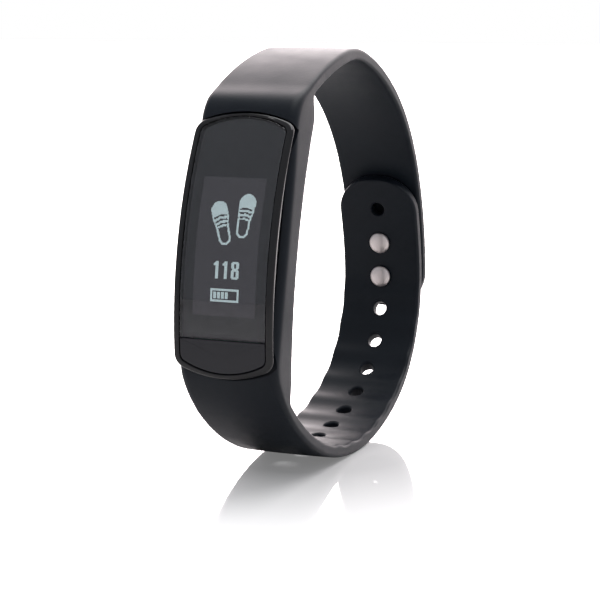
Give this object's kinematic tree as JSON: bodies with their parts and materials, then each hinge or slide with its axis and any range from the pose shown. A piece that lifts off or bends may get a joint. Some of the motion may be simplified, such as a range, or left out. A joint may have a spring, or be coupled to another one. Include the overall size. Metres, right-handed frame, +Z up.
{
  "type": "fitness_tracker_band",
  "caption": "Slim fitness tracker band: a curved glass-fronted display pebble held in a closed, perforated silicone strap that fastens with a metal stud clasp.",
  "frame": {"origin": "On the ground, under the middle of the closed loop's bounding box.", "axes": "+X across the strap to the wearer's side, -Y towards the display side, +Z up through the standing loop."},
  "size_m": [0.0174, 0.078, 0.0715],
  "materials": {
    "silicone": "matte moulded silicone",
    "clasp_steel": "satin",
    "gloss_case": "gloss",
    "smoked_glass": "gloss, smoked",
    "gloss_key": "gloss, smoked",
    "seal_rubber": "matte",
    "matte_case": "fine texture",
    "gold_contact": "gold plated",
    "panel_glass": "dark display",
    "amber_film": "polyimide film",
    "green_board": "solder mask",
    "chip_plastic": "moulded package",
    "can_steel": "pressed steel",
    "battery_foil": "foil pouch",
    "red_sleeve": "sleeved wire"
  },
  "bodies": {
    "band": {"strap_frame": "silicone", "perforated_strap": "silicone"},
    "strap_bend": {"clasp_strap_bend": "silicone"},
    "strap_tip": {"clasp_strap_end": "silicone", "clasp_plate": "clasp_steel", "clasp_stud_upper": "clasp_steel", "clasp_stud_lower": "clasp_steel"},
    "tracker": {"front_case": "gloss_case", "display_lens": "smoked_glass", "case_seal": "seal_rubber", "back_cover": "matte_case", "charge_contact_left": "gold_contact", "charge_contact_right": "gold_contact", "display_panel": "panel_glass", "display_ribbon": "amber_film", "circuit_board": "green_board", "key_switch": "chip_plastic", "radio_processor": "chip_plastic", "motion_sensor": "chip_plastic", "clock_crystal": "can_steel", "antenna_chip": "matte_case", "battery_cell": "battery_foil", "battery_guard_board": "green_board", "battery_lead_plus": "red_sleeve", "battery_lead_minus": "seal_rubber", "motor_can": "can_steel", "motor_shaft": "can_steel", "motor_base": "amber_film"},
    "key": {"lower_key": "gloss_key"},
    "motor_rotor": {"motor_weight": "can_steel"}
  },
  "joints": [
    {"name": "strap_root_flex", "type": "hinge", "parent": "band", "child": "strap_bend", "pos_m": [0, -0.01525, 0.06868], "axis": [1, 0, 0], "range_deg": [0, 45], "stiffness_Nm_per_rad": 0.02, "deforming": ["perforated_strap"]},
    {"name": "strap_tip_flex", "type": "hinge", "parent": "strap_bend", "child": "strap_tip", "pos_m": [0, 0.02306, 0.06155], "axis": [1, 0, 0], "range_deg": [0, 60], "stiffness_Nm_per_rad": 0.02, "deforming": ["perforated_strap"]},
    {"name": "tracker_release", "type": "slide", "parent": "band", "child": "tracker", "axis": [0, -0.9726, 0.2326], "range_m": [0, 0.014]},
    {"name": "key_press", "type": "slide", "parent": "tracker", "child": "key", "axis": [0, 0.9726, -0.2326], "range_m": [0, 0.00025], "stiffness_N_per_m": 700},
    {"name": "motor_spin", "type": "hinge", "parent": "tracker", "child": "motor_rotor", "pos_m": [0, -0.03468, 0.05286], "axis": [0, 0.9726, -0.2326], "continuous": true}
  ]
}
